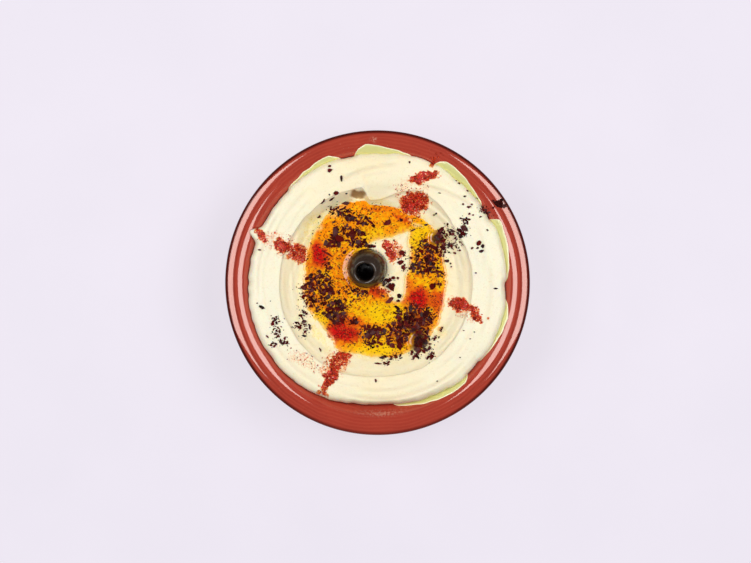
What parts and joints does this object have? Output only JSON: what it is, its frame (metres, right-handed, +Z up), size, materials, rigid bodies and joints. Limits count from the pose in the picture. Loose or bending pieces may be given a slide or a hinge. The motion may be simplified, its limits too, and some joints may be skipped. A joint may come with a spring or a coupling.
{
  "type": "hummus in a serving dish",
  "caption": "Hummus swirled by spoon in a low round terracotta dish, with a pool of spiced oil in its hollow, a pitted black olive standing in the oil and puddles of plain oil at its edge",
  "frame": {"origin": "on the table, under the middle of the dish's foot ring", "axes": "+Z up; +X to the right and +Y away from the diner who sees the olive left of and beyond the middle"},
  "size_m": [0.16, 0.16, 0.0482],
  "materials": {
    "terracotta_glaze": "satin brick-red glaze",
    "hummus_cream": "moist, smooth, cream",
    "spiced_oil": "wet, yellow to orange-red",
    "plain_oil": "wet, pale yellow-green",
    "olive_skin": "glossy brown-black skin"
  },
  "bodies": {
    "root": {"dish": "terracotta_glaze", "hummus": "hummus_cream", "oil_pool": "spiced_oil", "edge_oil_east": "plain_oil", "edge_oil_north_east": "plain_oil", "edge_oil_north": "plain_oil", "edge_oil_north_west": "plain_oil", "edge_oil_south": "plain_oil", "edge_oil_south_east": "plain_oil", "olive": "olive_skin"}
  },
  "joints": []
}
